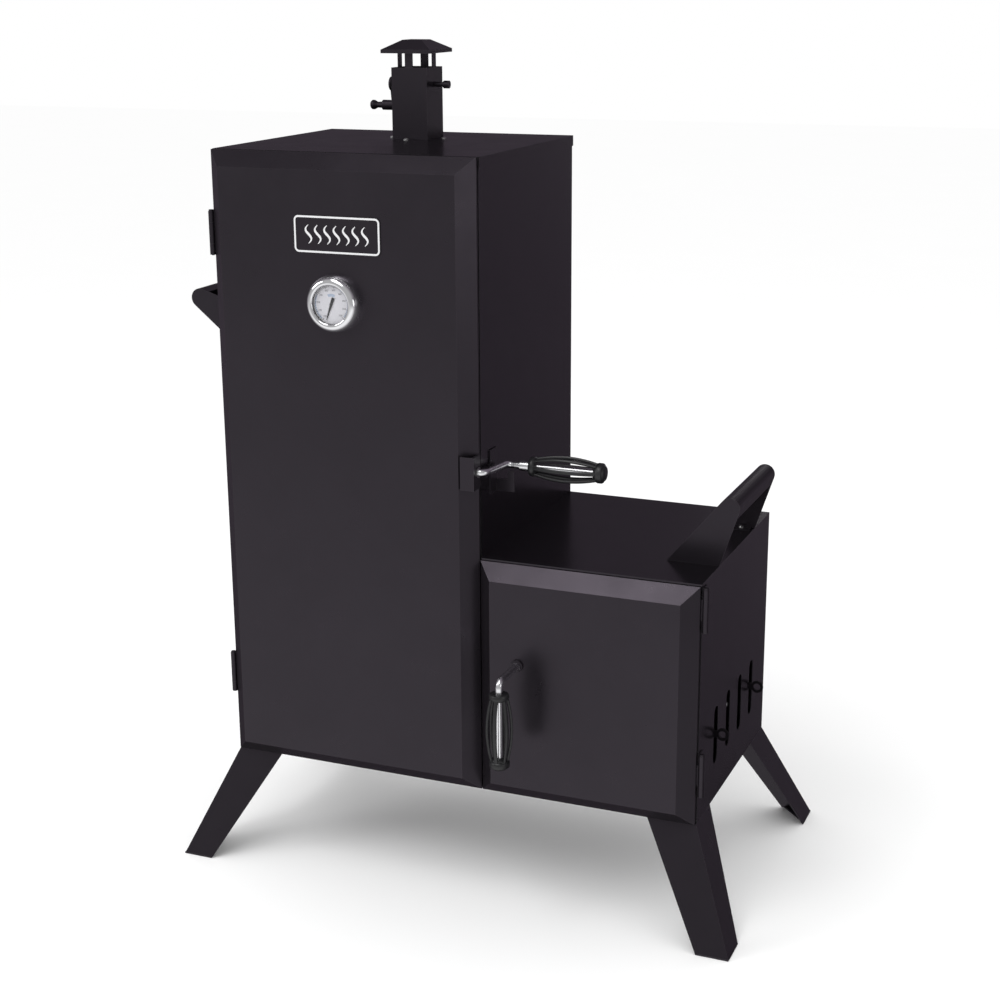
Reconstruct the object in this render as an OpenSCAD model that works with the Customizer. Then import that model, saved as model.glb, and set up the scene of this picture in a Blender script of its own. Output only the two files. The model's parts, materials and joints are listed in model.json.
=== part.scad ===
// Vertical charcoal smoker: a tall cooking cabinet with a low firebox on its right side,
// standing on four splayed legs. Millimetres, +Z up, the doors face -Y.
// The origin is on the floor, under the middle of the whole object's footprint.

/* [Chamber] */
// Width of the cooking chamber
chamber_w = 394; // [360:2:420]
// Depth of the cooking chamber and of the firebox
chamber_d = 356; // [340:2:400]
// Height of the cooking chamber
chamber_h = 885; // [860:5:940]

/* [Firebox] */
// Width of the firebox, beside the chamber
firebox_w = 314; // [300:2:340]
// Height of the firebox
firebox_h = 344; // [330:2:370]

/* [Legs] */
// Height of the legs, floor to body
leg_h = 159; // [120:1:180]
// How far each foot stands out sideways from the body
leg_splay_x = 68; // [50:1:80]
// How far each foot stands out to the front or the rear
leg_splay_y = 65; // [50:1:80]

/* [Sheet metal] */
// Thickness of the body panels and door skins
sheet_t = 1.2; // [1:0.1:1.6]
// Thickness of legs, brackets and handles
plate_t = 2; // [1.5:0.5:2.5]

/* [Doors] */
// How far the door faces stand in front of the door edges
door_bevel = 21; // [18:1:24]
// Gap between the back of a door and the body
door_gap = 3; // [2.5:0.5:4]
// Height of each hinge
hinge_h = 60; // [50:2:70]

/* [Grip handles] */
// Diameter of the bent latch rods
rod_d = 10; // [8:1:10]
// Length of the caged grip on each latch rod
grip_len = 110; // [100:2:120]
// Widest diameter of the caged grip
grip_d = 38; // [34:1:40]
// How far the firebox latch rod stands in front of the body
latch_reach = 90; // [80:1:100]

/* [Chimney] */
// Outer width of the square chimney tube
tube_w = 55; // [50:1:60]
// Height of the chimney tube
tube_h = 98; // [80:1:110]
// Width of the rain cap
cap_w = 77; // [74:1:84]

/* [Cooking] */
// Distance from one cooking grate to the next
grate_pitch = 92; // [90:1:94]
// Height of the lowest cooking grate over the chamber floor
first_grate_z = 330; // [324:1:332]

/* [Hidden] */
$fn = 48;

// Colours
c_black = [0.09, 0.09, 0.095];
c_panel = [0.12, 0.12, 0.125];
c_chrome = [0.80, 0.81, 0.83];
c_steel = [0.55, 0.55, 0.56];
c_wire = [0.42, 0.43, 0.45];
c_plastic = [0.05, 0.05, 0.055];
c_white = [0.93, 0.93, 0.91];

// General
eps = 0.01;
running = 0.06; // radial running clearance of every pin
full_w = chamber_w + firebox_w;
handle_reach = 96;
grip_r = grip_d / 2;

// Where the body's front left bottom corner sits, so that the origin is under the middle
corner = [
    -(full_w + leg_splay_x - handle_reach) / 2,
    -(chamber_d + leg_splay_y - latch_reach - grip_r) / 2,
    leg_h
];

// Front of the body panels, back of the doors and face of the doors, all along Y
body_y = door_gap + 1;
door_back = body_y - door_gap;
door_edge = 4;
door_side_y = door_back - door_edge;
door_face = door_side_y - door_bevel;
c_jamb = 14; // width of the frame round the chamber's door opening
f_jamb = 22; // width of the frame round the firebox's door opening
lip = 14; // width of the return flange behind each door's edge

// Doors in the body's own coordinates
c_door = [0.4, chamber_w - 0.4, 0, chamber_h - 0.4];
f_door = [chamber_w + 1, full_w - 1.4, 0, firebox_h - 3];

// Hinges: pin axis beside the body's corner
hinge_off = 5.4;
hinge_y = 0;
pin_r = 2;
knuckle_r = 4.2;
knuckle_h = 15;
hinge_gap = 0.3;
c_hinge_z = [90, 740];
f_hinge_z = [42, 278];

// Chamber latch
c_latch_y = -11;
c_latch_z = 468;
bracket_w = 20;
bracket_h = 46;
latch_run_y = 76; // how far the rod runs back along the wall
rod_r = rod_d / 2;
bend_r = 9;
c_rod_x = chamber_w + 12;
c_grip_x = chamber_w + 48;
ear_x = chamber_w + 28;
keeper_y = c_latch_y + latch_run_y - rod_r - plate_t - 4;
c_latch_tilt = 4.5; // the rod dips this many degrees from its bracket to its grip
c_rod_drop = latch_run_y * sin(c_latch_tilt);
keeper_z = [c_latch_z - 42, c_latch_z - c_rod_drop - rod_r - 1.6];
keeper_plate_h = 62;
notch_z = 17; // height of the keeper's ear inside the rod

// Firebox latch
f_latch_x = chamber_w + 63;
f_latch_z = 204;
f_grip_z = 188;

// Gauge on the chamber door
gauge_x = chamber_w / 2 - 1;
gauge_z = 688;
gauge_r = 38;
dial_r = 26.5;
dial_h = 12.5; // from the door's face to the dial's surface

// Badge on the chamber door
badge = [129, 51];
badge_z = 779;

// Air vent
vent_y = [88, 151, 213, 276];
vent_z = [54, 139];
vent_w = 20;
ring_z = 98;
shutter_z = [72, 184];
shutter_y = [70, 296];
shutter_t = 1.5;
shutter_gap = 3.6; // from the vented wall to the shutter

// Smoke passage between the firebox and the chamber
passage = [90, 180, 236, 80]; // y, z, length along y, height

// Chimney
chimney_y = 246;
tube_wall = 1.5;
tube_top = tube_h + 2;
flange_w = tube_w + 46;
flange_screw = tube_w / 2 + 13; // from the chimney's axis
post_h = 20;
cap_lip = 5;
cap_rise = 13;
cap_top_w = 30;
damper_z = 76; // above the chamber roof
shaft_r = 3.5;
lever_out = 12; // from the tube's side to the damper lever

// Cooking grates
grate_w = chamber_w - 2 * (c_jamb + sheet_t + 4);
grate_t = 5;
rack_t = 1.5;
ledge = 28;

module at_body() {
    translate(corner) children();
}

// A box given by its lowest and highest corner
module block(a, b) {
    translate(a) cube(b - a);
}

// Extrudes a shape drawn as (Y, Z) along X, from x0 over a length
module along_x(x0, length) {
    translate([x0, 0, 0])
        rotate([90, 0, 90])
            linear_extrude(length) children();
}

// Extrudes a shape drawn as (X, Z) along Y, from y0 over a length
module along_y(y0, length) {
    translate([0, y0 + length, 0])
        rotate([90, 0, 0])
            linear_extrude(length) children();
}

module rod_x(x0, x1, y, z, r) {
    translate([x0, y, z]) rotate([0, 90, 0]) cylinder(h = x1 - x0, r = r);
}

module rod_y(y0, y1, x, z, r) {
    translate([x, y0, z]) rotate([-90, 0, 0]) cylinder(h = y1 - y0, r = r);
}

// A rectangular ring in the XZ plane: d = [x0, x1, z0, z1], border w, from y0, t thick
module ring_frame(d, w, y0, t) {
    difference() {
        block([d[0], y0, d[2]], [d[1], y0 + t, d[3]]);
        block([d[0] + w, y0 - 1, d[2] + w], [d[1] - w, y0 + t + 1, d[3] - w]);
    }
}

// The solid outline of a door with four mitred 45 degree bevels, shrunk by s
module bevel_block(d, s, y_back) {
    k = s * (sqrt(2) - 1);
    intersection() {
        translate([0, 0, d[2] + s])
            linear_extrude(d[3] - d[2] - 2 * s)
                polygon(bevel_outline(d[0], d[1], s, k, y_back));
        along_x(d[0] + s, d[1] - d[0] - 2 * s)
            polygon([for (p = bevel_outline(d[2], d[3], s, k, y_back)) [p[1], p[0]]]);
    }
}

function bevel_outline(a, b, s, k, y_back) = [
    [a + s, y_back],
    [b - s, y_back],
    [b - s, door_side_y + k],
    [b - door_bevel - k, door_face + s],
    [a + door_bevel + k, door_face + s],
    [a + s, door_side_y + k]
];

// A hollow bevelled door pan with a return flange round its back
module door_pan(d) {
    difference() {
        bevel_block(d, 0, door_back);
        bevel_block(d, sheet_t, door_back + 1);
    }
    ring_frame([d[0] + eps, d[1] - eps, d[2] + eps, d[3] - eps], lip,
        door_back - sheet_t, sheet_t);
}

// Chamber panels

module chamber_left_panel() {
    color(c_panel) at_body()
        block([0, body_y, 0], [sheet_t, chamber_d, chamber_h - sheet_t]);
}

module chamber_right_panel() {
    color(c_panel) at_body() difference() {
        block([chamber_w - sheet_t, body_y, 0], [chamber_w, chamber_d, chamber_h - sheet_t]);
        block([chamber_w - sheet_t - 1, passage[0], passage[1]],
            [chamber_w + 1, passage[0] + passage[2], passage[1] + passage[3]]);
    }
}

module chamber_back_panel() {
    color(c_panel) at_body()
        block([sheet_t, chamber_d - sheet_t, sheet_t],
            [chamber_w - sheet_t, chamber_d, chamber_h - sheet_t]);
}

// Roof sheet with flanges folded down outside the side and back panels
module chamber_top_panel() {
    flange = 15;
    color(c_panel) at_body() difference() {
        block([-sheet_t, body_y, chamber_h - flange],
            [chamber_w + sheet_t, chamber_d + sheet_t, chamber_h]);
        block([0, body_y - 1, chamber_h - flange - 1],
            [chamber_w, chamber_d, chamber_h - sheet_t]);
        translate([chamber_w / 2, chimney_y, chamber_h - 3]) {
            hole = tube_w + 0.4;
            translate([-hole / 2, -hole / 2, 0]) cube([hole, hole, 4]);
            flange_holes(4);
        }
    }
}

module chamber_floor_panel() {
    color(c_panel) at_body() difference() {
        block([sheet_t, body_y, 0], [chamber_w - sheet_t, chamber_d - sheet_t, sheet_t]);
        leg_holes(0, sheet_t);
    }
}

// The frame round the chamber's door opening, folded in from the side panels
module chamber_front_frame() {
    color(c_panel) at_body()
        ring_frame([sheet_t, chamber_w - sheet_t, sheet_t, chamber_h - sheet_t], c_jamb,
            body_y, sheet_t);
}

// Chamber door and what it carries

module chamber_door() {
    color(c_black) at_body() difference() {
        door_pan(c_door);
        rod_y(door_face - 1, door_face + 3, gauge_x, gauge_z, 6.2);
    }
}

// Plain name plate, with rounded corners and a raised border line
module badge_plate() {
    inset = 1;
    border = 2.4;
    inner = inset + border;
    color(c_black) at_body() translate([chamber_w / 2 + 4, door_face, badge_z]) {
        along_y(-1, 1) rounded_rect(badge, 7);
        along_y(-1.6, 0.6) difference() {
            rounded_rect(badge - 2 * [inset, inset], 6);
            rounded_rect(badge - 2 * [inner, inner], 6 - border);
        }
    }
}

module rounded_rect(size, r) {
    square([size[0] - 2 * r, size[1]], center = true);
    square([size[0], size[1] - 2 * r], center = true);
    for (x = [-1, 1], z = [-1, 1])
        translate([x * (size[0] / 2 - r), z * (size[1] / 2 - r)]) circle(r = r);
}

// Turns a profile of (radius, distance in front of the door) round the gauge's axis
module gauge_turned() {
    at_body() translate([gauge_x, door_face, gauge_z])
        rotate([90, 0, 0]) rotate_extrude() children();
}

case_r = dial_r + 3;
case_h = dial_h + 5;

// Cup behind the dial, with the threaded stem and the probe that pass through the door
module gauge_case() {
    color(c_steel) gauge_turned() {
        translate([0, -22]) square([6, 22.2]);
        translate([0, -44]) square([3, 23]);
        difference() {
            square([case_r, case_h]);
            translate([0, dial_h - 1]) square([dial_r + 1.5, case_h]);
            translate([6, 1.5]) square([dial_r - 8, case_h]);
        }
    }
}

module gauge_dial() {
    color(c_white) gauge_turned() difference() {
        translate([0, dial_h - 1]) square([dial_r, 1]);
        translate([0, dial_h - 2]) square([1.5, 3]);
    }
}

// Pointer on its little arbor; it turns about the gauge's axis
module gauge_pointer() {
    cold = 250; // direction of the pointer at rest, from +X towards +Z
    color("black") at_body() translate([gauge_x, door_face, gauge_z]) {
        rotate([90, 0, 0]) translate([0, 0, dial_h - 0.8]) cylinder(h = 2.6, r = 1.4);
        along_y(-dial_h - 1.4, 0.6) rotate(cold) {
            circle(r = 3);
            polygon([[-9, -2], [21, -0.5], [23.5, 0], [21, 0.5], [-9, 2]]);
        }
    }
}

module gauge_glass() {
    color("lightblue", 0.3) gauge_turned() translate([0, dial_h + 3]) square([dial_r + 1.2, 1.5]);
}

// Bright spun shell that narrows towards the glass and holds it with its rolled rim
module gauge_bezel() {
    flank = [[gauge_r, 0], [gauge_r, 5.5], [36.4, 11.5], [33.4, 16.6], [31.2, case_h + 1.2]];
    rim = [[29, case_h + 1.8], [27.2, case_h + 1.2], [26.4, case_h]];
    inside = [[30.6, case_h], [32.4, 15.8], [35.2, 11], [gauge_r - 1.2, 5.3], [gauge_r - 1.2, 0]];
    color(c_chrome) gauge_turned() polygon(concat(flank, rim, inside));
}

module gauge_nut() {
    color(c_steel) at_body() difference() {
        rod_y(door_face + sheet_t, door_face + sheet_t + 5, gauge_x, gauge_z, 10, $fn = 6);
        rod_y(door_face, door_face + sheet_t + 6, gauge_x, gauge_z, 6.1);
    }
}

// Hinges. They are drawn for a pin at the origin, a door on +X and the body on +Y.

module knuckles(rows) {
    for (row = rows)
        translate([0, 0, row[0]]) difference() {
            cylinder(h = row[1] - row[0], r = knuckle_r);
            translate([0, 0, -1]) cylinder(h = row[1] - row[0] + 2, r = pin_r + running);
        }
}

module hinge_body_leaf() {
    wall = hinge_off;
    plate_x = wall - 1.6;
    for (z = [0, hinge_h - knuckle_h]) {
        knuckles([[z, z + knuckle_h]]);
        difference() {
            block([pin_r, 2.4, z], [wall, 4, z + knuckle_h]);
            translate([0, 0, z - 1]) cylinder(h = knuckle_h + 2, r = pin_r + running);
        }
    }
    block([plate_x, 3.2, 0], [wall, 20, hinge_h]);
}

module hinge_door_leaf() {
    z0 = knuckle_h + hinge_gap;
    z1 = hinge_h - knuckle_h - hinge_gap;
    knuckles([[z0, z1]]);
    difference() {
        block([pin_r, door_back, z0], [hinge_off + 4, door_back + 1.3, z1]);
        translate([0, 0, z0 - 1]) cylinder(h = z1, r = pin_r + running);
    }
    block([hinge_off + 2, door_back, 1], [hinge_off + lip, door_back + 1.3, hinge_h - 1]);
}

module hinge_pin() {
    translate([0, 0, -1]) cylinder(h = hinge_h + 1.6, r = pin_r);
    translate([0, 0, hinge_h + 0.2]) cylinder(h = 1.8, r = pin_r + 1.4);
}

module at_chamber_hinges() {
    at_body() for (z = c_hinge_z) translate([-hinge_off, hinge_y, z]) children();
}

module at_firebox_hinges() {
    at_body() for (z = f_hinge_z)
        translate([full_w + hinge_off, hinge_y, z]) mirror([1, 0, 0]) children();
}

module chamber_hinge_body_leaves() {
    color(c_black) at_chamber_hinges() hinge_body_leaf();
}

module chamber_hinge_door_leaves() {
    color(c_black) at_chamber_hinges() hinge_door_leaf();
}

module chamber_hinge_pins() {
    color(c_black) at_chamber_hinges() hinge_pin();
}

// Caged grip along +Z from 0 to grip_len: two collars, bowed ribs and a bore for the rod
module grip_cage(ribs) {
    cage_r = grip_r - 2.4;
    difference() {
        union() {
            cylinder(h = 5, r1 = 12.5, r2 = 13.5);
            translate([0, 0, 5]) cylinder(h = 4, r = 13.5);
            translate([0, 0, grip_len - 13]) cylinder(h = 9, r = 14);
            translate([0, 0, grip_len - 4]) cylinder(h = 4, r1 = 13, r2 = 9);
        }
        translate([0, 0, -1]) cylinder(h = grip_len - 4, r = rod_r + running);
    }
    for (i = [0:ribs - 1]) rotate(i * 360 / ribs) grip_rib(cage_r);
}

// One bowed rib of the cage, a round bar bent to an arc from collar to collar
module grip_rib(reach) {
    span = grip_len - 14;
    end_r = 10.5;
    rise = reach - end_r;
    arc_r = (span * span / 4 + rise * rise) / (2 * rise);
    half = asin(span / 2 / arc_r);
    translate([reach - arc_r, 0, 5 + span / 2]) rotate([90, 0, 0])
        rotate(-half) rotate_extrude(angle = 2 * half)
            translate([arc_r, 0]) square([4.6, 3.6], center = true);
}

// Chamber latch

// Folded block on the door's edge, bored for the latch rod
module chamber_latch_bracket() {
    x1 = chamber_w + 2;
    color(c_black) at_body() difference() {
        union() {
            block([x1 - plate_t - 2, door_face - 2, c_latch_z - bracket_h / 2],
                [x1, door_side_y, c_latch_z + bracket_h / 2]);
            block([x1 - bracket_w, door_face - 2, c_latch_z - bracket_h / 2],
                [x1, door_face, c_latch_z + bracket_h / 2]);
            block([x1 - bracket_w, door_face - 2, c_latch_z - bracket_h / 2],
                [x1 - bracket_w + plate_t, door_face + 2, c_latch_z + bracket_h / 2]);
        }
        rod_x(x1 - bracket_w - 1, x1 + 1, c_latch_y, c_latch_z, rod_r + running);
        bevel_block(c_door, 0, door_back);
    }
}

// Turns the rod and what it carries about the axis of its bracket
module tilted() {
    translate([0, c_latch_y, c_latch_z]) rotate([-c_latch_tilt, 0, 0])
        translate([0, -c_latch_y, -c_latch_z]) children();
}

module bent_rod_chamber() {
    x_end = c_grip_x + grip_len - 8;
    y_end = c_latch_y + latch_run_y;
    z = c_latch_z;
    rod_x(chamber_w - 2.5, c_rod_x - bend_r, c_latch_y, z, rod_r);
    translate([c_rod_x - bend_r, c_latch_y + bend_r, z]) rotate(-90)
        rotate_extrude(angle = 90) translate([bend_r, 0]) circle(r = rod_r);
    rod_y(c_latch_y + bend_r, y_end - bend_r, c_rod_x, z, rod_r);
    translate([c_rod_x + bend_r, y_end - bend_r, z]) rotate(90)
        rotate_extrude(angle = 90) translate([bend_r, 0]) circle(r = rod_r);
    rod_x(c_rod_x + bend_r, x_end, y_end, z, rod_r);
}

// Rod that pivots in the bracket, runs back past the corner and out to the grip
module chamber_latch_rod() {
    collar_x = chamber_w + 34;
    color(c_chrome) at_body() tilted() {
        bent_rod_chamber();
        rod_x(collar_x, collar_x + 14, c_latch_y + latch_run_y, c_latch_z, rod_r + 2.2);
    }
}

module chamber_latch_grip() {
    color(c_plastic) at_body() tilted()
        translate([c_grip_x, c_latch_y + latch_run_y, c_latch_z])
            rotate([0, 90, 0]) grip_cage(6);
}

// Push-on clip that keeps the rod in its bracket
module chamber_latch_clip() {
    x0 = chamber_w + 2 + 0.3;
    color(c_steel) at_body() difference() {
        rod_x(x0, x0 + 1.2, c_latch_y, c_latch_z, rod_r + 2.2);
        rod_x(x0 - 1, x0 + 3, c_latch_y, c_latch_z, rod_r - 0.02);
    }
}

// Angle welded to the chamber's wall; its ear stands in front of the latch rod when that is lowered
module latch_keeper() {
    x0 = chamber_w;
    color(c_black) at_body() {
        difference() {
            block([x0, keeper_y, keeper_z[0]], [ear_x, keeper_y + plate_t, keeper_z[1]]);
            block([x0 - 1, keeper_y - 1, keeper_z[0] + notch_z],
                [c_rod_x + rod_r + 1.5, keeper_y + plate_t + 1, keeper_z[1] + 1]);
        }
        block([x0, keeper_y - 22, keeper_z[0]],
            [x0 + plate_t, keeper_y + plate_t, keeper_z[0] + keeper_plate_h]);
    }
}

// Carry handle: two end plates, a sheet wrapped round the nose, and screwed feet.
// Drawn with its base along +X from 0 to base, standing up +Y, length along +Z.

handle_base = 74;
handle_nose = [86, 82];
nose_r = 14;
handle_len = 190;
handle_screws = [18, handle_base - 18];
handle_screw_in = 11; // from the handle's ends
handle_y = 82; // front end of both handles
side_handle_z = 575;

module handle_profile(r) {
    // From the base's near end, tangent up to the nose, round it, and back to the far end
    far = [handle_base, 0];
    a_near = tangent_angle([0, 0], 1, r);
    a_far = tangent_angle(far, -1, r);
    turn = a_far - a_near - ((a_far > a_near) ? 360 : 0);
    arc = [for (i = [0:12]) a_near + turn * i / 12];
    polygon(concat([[0, 0]], [for (a = arc) handle_nose + r * [cos(a), sin(a)]], [far]));
}

// Angle on the nose circle where a line from point p touches it, on the given side
function tangent_angle(p, side, r) =
    let (d = handle_nose - p, len = norm(d), phi = atan2(d[1], d[0]))
        phi + 180 - side * acos(r / len);

module carry_handle() {
    grip_wrap = 28; // how far the wrapped sheet reaches down from the nose's top
    opening_h = handle_nose[1] + nose_r - grip_wrap;
    inner_len = handle_len - 2 * plate_t;
    foot_w = 18;
    difference() {
        linear_extrude(handle_len) handle_profile(nose_r);
        translate([0, 0, plate_t]) linear_extrude(inner_len) handle_profile(nose_r - plate_t);
        translate([-20, -1, plate_t]) cube([handle_base + 60, opening_h + 1, inner_len]);
    }
    for (z = [plate_t, handle_len - plate_t - foot_w])
        difference() {
            translate([4, 0, z]) cube([handle_base - 8, plate_t, foot_w]);
            for (x = handle_screws)
                translate([x, -1, z + foot_w / 2]) rotate([-90, 0, 0])
                    cylinder(h = plate_t + 2, r = 2.6);
        }
}

module side_carry_handle() {
    color(c_black) at_body()
        translate([0, handle_y + handle_len, side_handle_z])
            rotate([90, 0, 0]) mirror([1, 0, 0]) rotate(-90) mirror([1, 0, 0]) carry_handle();
}

module firebox_carry_handle() {
    x_base = full_w - handle_base;
    color(c_black) at_body()
        translate([x_base, handle_y + handle_len, firebox_h]) rotate([90, 0, 0]) carry_handle();
}

// Racks, grates and water pan

module grate_rack(x0, dir) {
    rack_y = [30, chamber_d - 30];
    z_low = first_grate_z - 90;
    z_high = first_grate_z + 5 * grate_pitch + 12;
    strips = [rack_y[0], rack_y[1] - 24];
    at_body() translate([x0, 0, 0]) mirror([dir < 0 ? 1 : 0, 0, 0]) {
        for (y = strips) block([0, y, z_low], [rack_t, y + 24, z_high]);
        for (i = [-1:5]) {
            z = (i < 0) ? z_low + 6 : first_grate_z + i * grate_pitch - rack_t;
            block([0, rack_y[0], z], [ledge, rack_y[1], z + rack_t]);
        }
    }
}

module grate_rack_left() {
    color(c_steel) grate_rack(sheet_t, 1);
}

module grate_rack_right() {
    color(c_steel) grate_rack(chamber_w - sheet_t, -1);
}

// A flat grid in the XY plane: outer rim, two cross bars and bars front to back
module grid(w, d, rim, bars, bar_w, t) {
    pitch = (w - rim) / bars;
    linear_extrude(t) difference() {
        square([w, d]);
        for (i = [0:bars - 1], j = [0:2])
            translate([rim + i * pitch, rim + j * (d - rim) / 3])
                square([pitch - bar_w, (d - rim) / 3 - rim]);
    }
}

module cooking_grate(i) {
    d = chamber_d - 50;
    color(c_wire) at_body()
        translate([chamber_w / 2 - grate_w / 2, 26, first_grate_z + (i - 1) * grate_pitch])
            grid(grate_w, d, 5, 20, 3.5, grate_t);
}

module cooking_grate_1() { cooking_grate(1); }
module cooking_grate_2() { cooking_grate(2); }
module cooking_grate_3() { cooking_grate(3); }
module cooking_grate_4() { cooking_grate(4); }
module cooking_grate_5() { cooking_grate(5); }
module cooking_grate_6() { cooking_grate(6); }

// Round-cornered pan that hangs by its rim on the lowest ledges
module water_pan() {
    d = 290;
    rim_z = first_grate_z - 90 + 6 + rack_t;
    depth = 62;
    bowl = chamber_w - 2 * (sheet_t + ledge + 3);
    color(c_black) at_body() translate([chamber_w / 2, chamber_d / 2, 0]) {
        translate([0, 0, rim_z]) linear_extrude(sheet_t) difference() {
            rounded_rect([grate_w, d], 12);
            rounded_rect([bowl - 2 * sheet_t, d - 30], 26);
        }
        translate([0, 0, rim_z - depth]) difference() {
            linear_extrude(depth + sheet_t / 2) rounded_rect([bowl, d - 30 + 2 * sheet_t], 27);
            translate([0, 0, sheet_t]) linear_extrude(depth + 2)
                rounded_rect([bowl - 2 * sheet_t, d - 30], 26);
        }
    }
}

// Firebox panels

module firebox_right_panel() {
    color(c_panel) at_body() difference() {
        block([full_w - sheet_t, body_y, 0], [full_w, chamber_d, firebox_h - sheet_t]);
        for (y = vent_y)
            along_x(full_w - sheet_t - 1, sheet_t + 2)
                translate([y, (vent_z[0] + vent_z[1]) / 2])
                    rounded_rect([vent_w, vent_z[1] - vent_z[0]], vent_w / 2 - eps);
    }
}

module firebox_back_panel() {
    color(c_panel) at_body()
        block([chamber_w + eps, chamber_d - sheet_t, sheet_t],
            [full_w - sheet_t, chamber_d, firebox_h - sheet_t]);
}

module firebox_top_panel() {
    color(c_panel) at_body() {
        block([chamber_w + eps, 0, firebox_h - sheet_t], [full_w, chamber_d, firebox_h]);
        block([chamber_w + 2, -1, firebox_h - 2.4], [full_w, 0.2, firebox_h]);
    }
}

module firebox_floor_panel() {
    color(c_panel) at_body() difference() {
        block([chamber_w + eps, body_y, 0], [full_w - sheet_t, chamber_d - sheet_t, sheet_t]);
        leg_holes(0, sheet_t);
    }
}

module firebox_front_frame() {
    color(c_panel) at_body()
        ring_frame([chamber_w + eps, full_w - sheet_t, sheet_t, firebox_h - sheet_t], f_jamb,
            body_y, sheet_t);
}

module firebox_door() {
    color(c_black) at_body() difference() {
        union() {
            door_pan(f_door);
            rod_y(door_face + sheet_t / 2, door_back - 6, f_latch_x, f_latch_z, rod_r + 5);
        }
        rod_y(door_face - 1, door_back + 2, f_latch_x, f_latch_z, rod_r + running);
    }
}

module firebox_hinge_body_leaves() {
    color(c_black) at_firebox_hinges() hinge_body_leaf();
}

module firebox_hinge_door_leaves() {
    color(c_black) at_firebox_hinges() hinge_door_leaf();
}

module firebox_hinge_pins() {
    color(c_black) at_firebox_hinges() hinge_pin();
}

// Rod through the firebox door, bent down in front of it
module firebox_latch_rod() {
    y_end = body_y + 14;
    z_low = f_grip_z - grip_len + 8;
    color(c_chrome) at_body() {
        rod_y(-latch_reach + bend_r, y_end, f_latch_x, f_latch_z, rod_r);
        translate([f_latch_x, -latch_reach + bend_r, f_latch_z - bend_r])
            rotate([0, -90, 0]) rotate([0, 0, -90]) rotate_extrude(angle = 90)
                translate([bend_r, 0]) circle(r = rod_r);
        translate([f_latch_x, -latch_reach, z_low])
            cylinder(h = f_latch_z - bend_r - z_low, r = rod_r);
        rod_y(door_face - 2.2, door_face - 0.3, f_latch_x, f_latch_z, rod_r + 1.4);
    }
}

module firebox_latch_grip() {
    color(c_plastic) at_body() translate([f_latch_x, -latch_reach, f_grip_z])
        rotate([180, 0, 0]) grip_cage(6);
}

// Tongue on the rod's inner end; it swings behind the left side of the door frame
module firebox_latch_tongue() {
    y0 = body_y + sheet_t + 2;
    color(c_steel) at_body() difference() {
        union() {
            block([f_latch_x - 8, y0, f_latch_z - 10], [f_latch_x + 8, y0 + 4, f_latch_z + 46]);
            rod_y(y0, y0 + 6, f_latch_x, f_latch_z, rod_r + 4);
        }
        rod_y(y0 - 1, y0 + 8, f_latch_x, f_latch_z, rod_r - 0.02);
    }
}

// Air shutter: a plate inside the vented wall, with two finger rings through the end slots

module air_shutter() {
    x1 = full_w - sheet_t - shutter_gap;
    color(c_black) at_body() {
        block([x1 - shutter_t, shutter_y[0], shutter_z[0]], [x1, shutter_y[1], shutter_z[1]]);
        for (y = [vent_y[0], vent_y[3]]) {
            block([x1 - eps, y - 1.5, ring_z - 5], [full_w + 4, y + 1.5, ring_z + 5]);
            translate([full_w + 10.2, y, ring_z]) rotate([90, 0, 0])
                translate([0, 0, -1.5]) difference() {
                    cylinder(h = 3, r = 9);
                    translate([0, 0, -1]) cylinder(h = 5, r = 5.4);
                }
        }
    }
}

// Channels along the shutter's two upright edges
module shutter_guides() {
    x1 = full_w - sheet_t;
    depth = shutter_gap + shutter_t + 1.9;
    z = [14, 262];
    color(c_black) at_body() for (side = [0, 1]) {
        edge = shutter_y[side];
        out = (side == 0) ? -1 : 1;
        y = [edge + out * 0.8, edge + out * 9, edge - out * 7];
        block([x1 - depth, min(y[0], y[1]), z[0]], [x1, max(y[0], y[1]), z[1]]);
        block([x1 - depth, min(y[1], y[2]), z[0]],
            [x1 - depth + 1.3, max(y[1], y[2]), z[1]]);
    }
}

// Heavy grate for the charcoal, on four short feet
module charcoal_grate() {
    w = firebox_w - 60;
    d = chamber_d - 60;
    z = 78;
    x0 = chamber_w + 26;
    color(c_steel) at_body() {
        translate([x0, 30, z]) grid(w, d, 8, 11, 8, 6);
        for (x = [x0, x0 + w - 8], y = [30, 30 + d - 8])
            block([x, y, sheet_t], [x + 8, y + 8, z + eps]);
    }
}

// Open tray under the charcoal grate
module ash_pan() {
    x = [chamber_w + 34, full_w - 48];
    y = [30, chamber_d - 42];
    z = [sheet_t + 0.2, 46];
    color(c_panel) at_body() {
        difference() {
            block([x[0], y[0], z[0]], [x[1], y[1], z[1]]);
            block([x[0] + sheet_t, y[0] + sheet_t, z[0] + sheet_t],
                [x[1] - sheet_t, y[1] - sheet_t, z[1] + 1]);
        }
        block([(x[0] + x[1]) / 2 - 30, y[0] - 10, z[1] - 3],
            [(x[0] + x[1]) / 2 + 30, y[0] + eps, z[1] - 1.5]);
    }
}

// Chimney

// Holes for the chimney's four screws, going up from the origin
module flange_holes(h) {
    for (a = [0:90:270]) rotate(a) translate([0, -flange_screw, 0]) cylinder(h = h, r = 2.6);
}

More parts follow.
